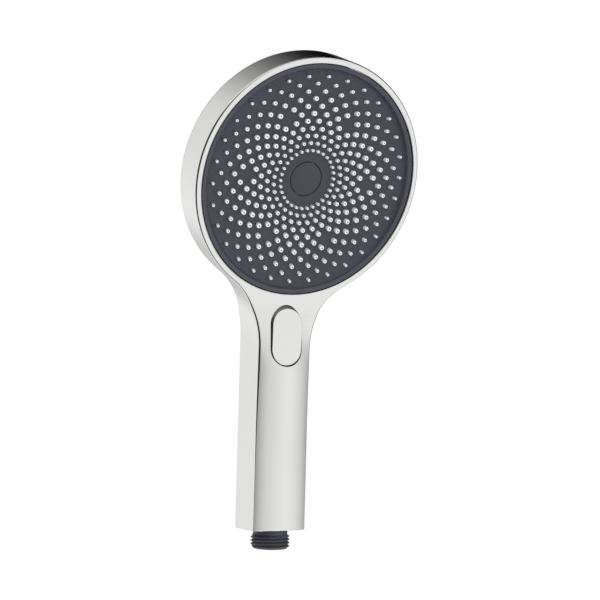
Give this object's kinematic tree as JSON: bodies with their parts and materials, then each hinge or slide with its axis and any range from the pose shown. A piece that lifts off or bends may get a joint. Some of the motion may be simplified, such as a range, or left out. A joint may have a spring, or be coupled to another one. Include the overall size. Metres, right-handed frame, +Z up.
{
  "type": "handheld shower head",
  "caption": "Chromed handheld shower head: flat round head bent forward on a flat-sided handle, dark dished spray face with silicone nozzles, pill-shaped push button and threaded hose inlet.",
  "frame": {"origin": "on the inlet axis where the threaded inlet leaves the handle's end face", "axes": "+Z up the handle towards the head, -Y towards the spray side, +X to the right when the spray face is seen"},
  "size_m": [0.1316, 0.0677, 0.2639],
  "materials": {
    "chrome": "bright chrome plating on moulded ABS",
    "dark_abs": "satin dark blue-grey moulded ABS",
    "inlet_plastic": "satin dark grey glass-filled plastic",
    "silicone": "pale moulded silicone",
    "white_acetal": "natural moulded acetal",
    "seal_rubber": "black moulded rubber",
    "steel": "drawn stainless steel",
    "brass": "turned brass"
  },
  "bodies": {
    "housing": {"rear_shell": "chrome", "front_cover": "chrome", "spray_face": "dark_abs", "centre_cap": "dark_abs", "hose_inlet": "inlet_plastic", "inlet_filter": "white_acetal", "nozzle_mat": "silicone", "chamber_plate": "white_acetal", "riser_duct": "white_acetal", "valve_body": "white_acetal", "water_tube": "white_acetal", "stem_gland": "white_acetal", "chamber_seal": "seal_rubber", "screw_seal": "seal_rubber", "port_gasket": "seal_rubber", "tube_seals": "seal_rubber", "stem_seal": "seal_rubber", "centre_screw": "steel", "return_spring": "steel", "threaded_insert": "brass"},
    "button": {"mode_button": "chrome", "button_stem": "steel", "valve_spool": "white_acetal", "spool_seal": "seal_rubber"}
  },
  "joints": [
    {"name": "button_press", "type": "slide", "parent": "housing", "child": "button", "axis": [0, 1, 0], "range_m": [0, 0.0025], "stiffness_N_per_m": 900, "springref_m": -0.002, "deforming": ["return_spring"]}
  ]
}
